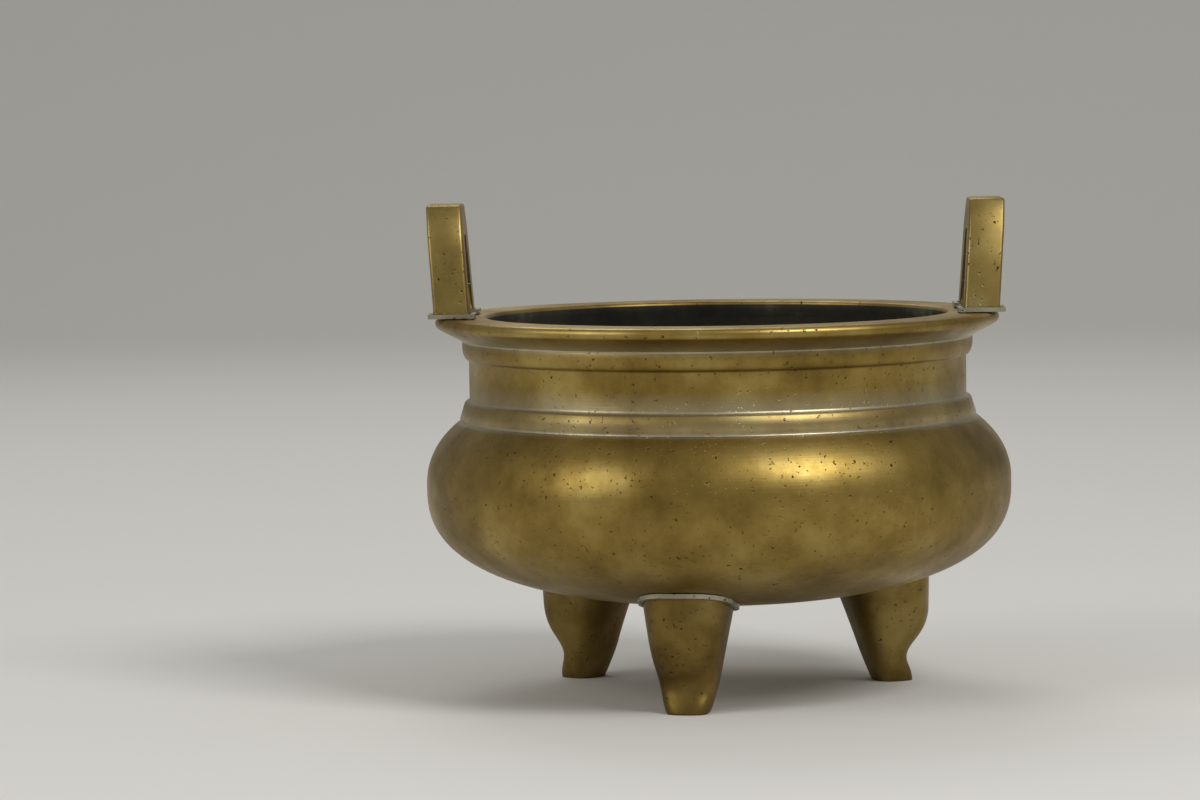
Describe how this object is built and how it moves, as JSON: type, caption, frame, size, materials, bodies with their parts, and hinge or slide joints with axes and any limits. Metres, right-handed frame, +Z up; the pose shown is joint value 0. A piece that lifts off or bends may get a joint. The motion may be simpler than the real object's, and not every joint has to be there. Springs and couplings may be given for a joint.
{
  "type": "tripod incense burner",
  "caption": "Squat round-bellied bronze tripod incense burner with an everted rim, upright square loop ears and short tapered legs.",
  "frame": {"origin": "on the floor, under the vessel's turning axis", "axes": "+Z up, the ears on +X and -X, the front leg towards -Y"},
  "size_m": [0.15, 0.15, 0.1259],
  "materials": {
    "bowl_brass": "aged satin",
    "ear_brass": "aged satin",
    "leg_brass": "aged satin",
    "solder": "dull"
  },
  "bodies": {
    "root": {"bowl": "bowl_brass", "ear_right": "ear_brass", "ear_left": "ear_brass", "ear_right_solder_a": "solder", "ear_right_solder_b": "solder", "ear_left_solder_a": "solder", "ear_left_solder_b": "solder", "leg_front": "leg_brass", "leg_right": "leg_brass", "leg_left": "leg_brass", "leg_front_solder": "solder", "leg_right_solder": "solder", "leg_left_solder": "solder"}
  },
  "joints": []
}
